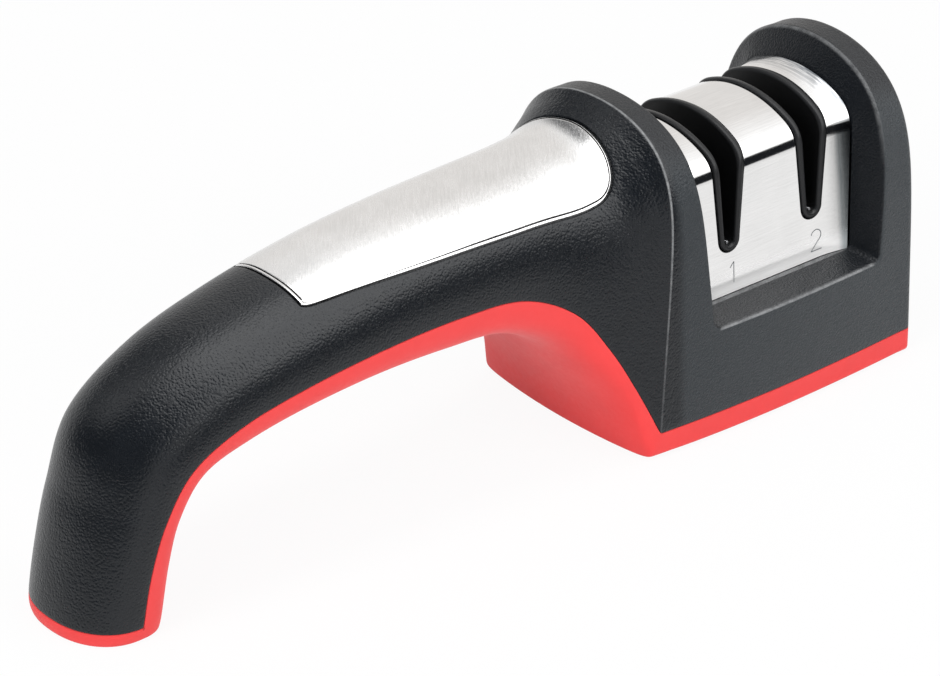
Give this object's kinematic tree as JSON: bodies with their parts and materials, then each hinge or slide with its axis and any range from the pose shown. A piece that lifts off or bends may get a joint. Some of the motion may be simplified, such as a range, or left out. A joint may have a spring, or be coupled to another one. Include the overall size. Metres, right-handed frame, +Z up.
{
  "type": "pull-through sharpener",
  "caption": "Hand-held pull-through sharpener: bow handle, twin slots with crossed wheels, steel saddle between two hoops, flat base.",
  "frame": {"origin": "on the table under the middle of the object's box", "axes": "+X from the handle's heel to the rear of the head, +Y across the head, +Z up"},
  "size_m": [0.2041, 0.0548, 0.0695],
  "materials": {
    "black_shell": "fine leather grain, satin",
    "red_shell": "soft-touch, satin",
    "steel_sheet": "brushed",
    "black_insert": "semi-gloss",
    "pin_steel": "ground",
    "coarse_grit": "diamond-coated steel",
    "fine_ceramic": null,
    "spacer_plastic": "plain",
    "screw_steel": "zinc plated",
    "pad_rubber": "matt"
  },
  "bodies": {
    "frame": {"housing": "black_shell", "underside": "red_shell", "handle_plate": "steel_sheet", "saddle_plate": "steel_sheet", "cassette": "black_insert", "cassette_cover": "black_insert", "coarse_pin_front": "pin_steel", "coarse_pin_rear": "pin_steel", "fine_pin_front": "pin_steel", "fine_pin_rear": "pin_steel", "coarse_spacer_1": "spacer_plastic", "coarse_spacer_2": "spacer_plastic", "coarse_spacer_3": "spacer_plastic", "coarse_spacer_4": "spacer_plastic", "fine_spacer_1": "spacer_plastic", "fine_spacer_2": "spacer_plastic", "fine_spacer_3": "spacer_plastic", "fine_spacer_4": "spacer_plastic", "cover_screw_left": "screw_steel", "cover_screw_right": "screw_steel", "cassette_screw_1": "screw_steel", "cassette_screw_2": "screw_steel", "cassette_screw_3": "screw_steel", "cassette_screw_4": "screw_steel", "base_plate": "black_insert", "base_screw_1": "screw_steel", "base_screw_2": "screw_steel", "base_screw_3": "screw_steel", "base_screw_4": "screw_steel", "base_pad": "pad_rubber"},
    "coarse_wheel_1": {"coarse_disc_1": "coarse_grit"},
    "coarse_wheel_2": {"coarse_disc_2": "coarse_grit"},
    "coarse_wheel_3": {"coarse_disc_3": "coarse_grit"},
    "coarse_wheel_4": {"coarse_disc_4": "coarse_grit"},
    "fine_wheel_1": {"fine_disc_1": "fine_ceramic"},
    "fine_wheel_2": {"fine_disc_2": "fine_ceramic"},
    "fine_wheel_3": {"fine_disc_3": "fine_ceramic"},
    "fine_wheel_4": {"fine_disc_4": "fine_ceramic"}
  },
  "joints": [
    {"name": "coarse_spin_1", "type": "hinge", "parent": "frame", "child": "coarse_wheel_1", "pos_m": [0.05223, -0.00345, 0.0367], "axis": [0, 1, 0], "continuous": true},
    {"name": "coarse_spin_2", "type": "hinge", "parent": "frame", "child": "coarse_wheel_2", "pos_m": [0.06257, -0.00115, 0.0367], "axis": [0, 1, 0], "continuous": true},
    {"name": "coarse_spin_3", "type": "hinge", "parent": "frame", "child": "coarse_wheel_3", "pos_m": [0.05223, 0.00115, 0.0367], "axis": [0, 1, 0], "continuous": true},
    {"name": "coarse_spin_4", "type": "hinge", "parent": "frame", "child": "coarse_wheel_4", "pos_m": [0.06257, 0.00345, 0.0367], "axis": [0, 1, 0], "continuous": true},
    {"name": "fine_spin_1", "type": "hinge", "parent": "frame", "child": "fine_wheel_1", "pos_m": [0.07513, -0.00345, 0.0367], "axis": [0, 1, 0], "continuous": true},
    {"name": "fine_spin_2", "type": "hinge", "parent": "frame", "child": "fine_wheel_2", "pos_m": [0.08547, -0.00115, 0.0367], "axis": [0, 1, 0], "continuous": true},
    {"name": "fine_spin_3", "type": "hinge", "parent": "frame", "child": "fine_wheel_3", "pos_m": [0.07513, 0.00115, 0.0367], "axis": [0, 1, 0], "continuous": true},
    {"name": "fine_spin_4", "type": "hinge", "parent": "frame", "child": "fine_wheel_4", "pos_m": [0.08547, 0.00345, 0.0367], "axis": [0, 1, 0], "continuous": true}
  ]
}
